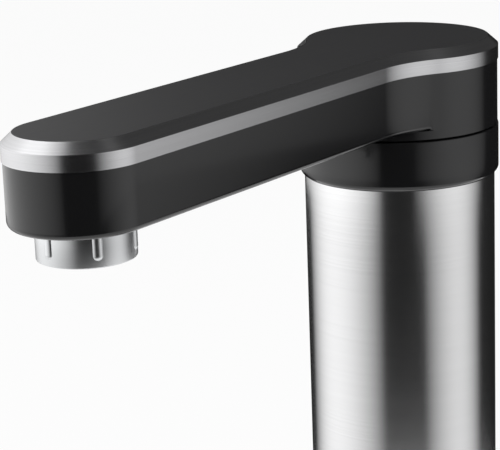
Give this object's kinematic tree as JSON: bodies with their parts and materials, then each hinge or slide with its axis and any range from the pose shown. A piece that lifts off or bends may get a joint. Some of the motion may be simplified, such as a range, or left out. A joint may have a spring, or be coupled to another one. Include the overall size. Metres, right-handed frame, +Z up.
{
  "type": "electric instant water heater tap",
  "caption": "Deck-mounted instant water heater tap: brushed steel column with heater inside, black base with display and side lever, flat swivelling spout with ribbed outlet.",
  "frame": {"origin": "on the column's axis in the plane of the base gasket's underside, which rests on the sink deck", "axes": "+Z up along the column, -Y towards the spout outlet at rest, +X towards the lever"},
  "size_m": [0.0779, 0.205, 0.3152],
  "materials": {
    "black_gloss": "black satin",
    "brushed_column": "brushed round the column",
    "brushed_band": "brushed along the band",
    "dark_panel": "dark grey satin",
    "satin_chrome": "bright satin",
    "steel": "plain",
    "brass": "machined",
    "rubber": "soft black",
    "white_plastic": "moulded",
    "grey_plastic": "moulded",
    "display_glass": "smoked, glossy",
    "board_green": "circuit board"
  },
  "bodies": {
    "column": {"deck_gasket": "rubber", "mounting_shank": "brass", "deck_seal": "rubber", "deck_washer": "steel", "fixing_nut": "brass", "shank_plug": "grey_plastic", "cable_gland": "rubber", "shank_screws": "steel", "base_plate": "steel", "base_body": "black_gloss", "base_screws": "steel", "display_window": "display_glass", "display_digits": "grey_plastic", "display_board": "board_green", "terminal_block": "white_plastic", "inlet_pipe": "steel", "inlet_nipple": "brass", "inlet_filter": "steel", "valve_body": "brass", "fixed_disc": "white_plastic", "cartridge_housing": "white_plastic", "cartridge_nut": "brass", "valve_bezel": "satin_chrome", "flow_switch_body": "grey_plastic", "flow_spring": "steel", "flow_switch_cap": "grey_plastic", "reed_switch": "white_plastic", "element_flange": "steel", "heating_elements": "steel", "element_terminals": "brass", "tank_o_ring": "rubber", "heater_tank": "steel", "thermal_cutout": "white_plastic", "temperature_probe": "steel", "tie_rods": "steel", "tie_rod_nuts": "steel", "column_sleeve": "brushed_column", "collar": "black_gloss", "swivel_housing": "brass", "housing_cap": "brass"},
    "spout": {"swivel_stem": "brass", "stem_o_rings": "rubber", "stem_circlip": "steel", "glide_ring": "white_plastic", "spout_shell": "black_gloss", "spout_trim_band": "brushed_band", "spout_top_panel": "dark_panel", "waterway_tube": "steel", "outlet_socket": "brass", "aerator_gasket": "rubber", "aerator_insert": "white_plastic", "aerator_shell": "satin_chrome", "spout_screws": "steel"},
    "lever": {"moving_disc": "white_plastic", "cartridge_spindle": "brass", "lever": "black_gloss", "lever_screw": "steel", "lever_cap": "satin_chrome"},
    "flow_piston": {"flow_piston": "white_plastic", "piston_magnet": "steel"}
  },
  "joints": [
    {"name": "spout_swivel", "type": "hinge", "parent": "column", "child": "spout", "pos_m": [0, 0, 0.2201], "axis": [0, 0, 1], "range_deg": [-90, 90]},
    {"name": "lever_turn", "type": "hinge", "parent": "column", "child": "lever", "pos_m": [0.0355, 0, 0.04], "axis": [1, 0, 0], "range_deg": [-40, 40]},
    {"name": "flow_slide", "type": "slide", "parent": "column", "child": "flow_piston", "axis": [0, 0, 1], "range_m": [0, 0.004], "stiffness_N_per_m": 30, "springref_m": -0.002, "deforming": ["flow_spring"]}
  ]
}
